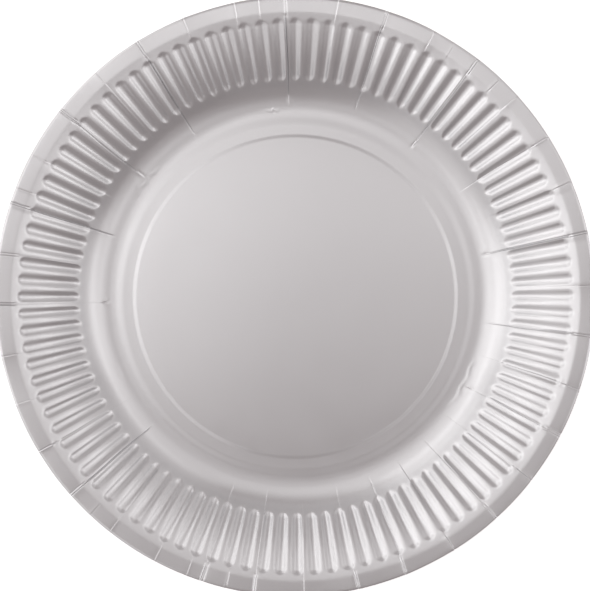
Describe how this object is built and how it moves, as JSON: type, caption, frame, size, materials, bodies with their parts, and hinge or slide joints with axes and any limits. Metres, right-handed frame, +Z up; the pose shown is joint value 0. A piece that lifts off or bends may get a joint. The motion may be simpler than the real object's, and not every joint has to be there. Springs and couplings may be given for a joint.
{
  "type": "paper plate",
  "caption": "Round silver-faced paperboard plate with a raised centre panel, fluted sloping wall and narrow flat lip.",
  "frame": {"origin": "centre of the foot ring's underside, on the surface that the plate stands on", "axes": "+Z up along the plate's axis, +X towards the right of the picture, +Y towards its top"},
  "size_m": [0.23, 0.23, 0.0203],
  "materials": {
    "silver_board": "satin silver-laminated paperboard"
  },
  "bodies": {
    "root": {"plate": "silver_board"}
  },
  "joints": []
}
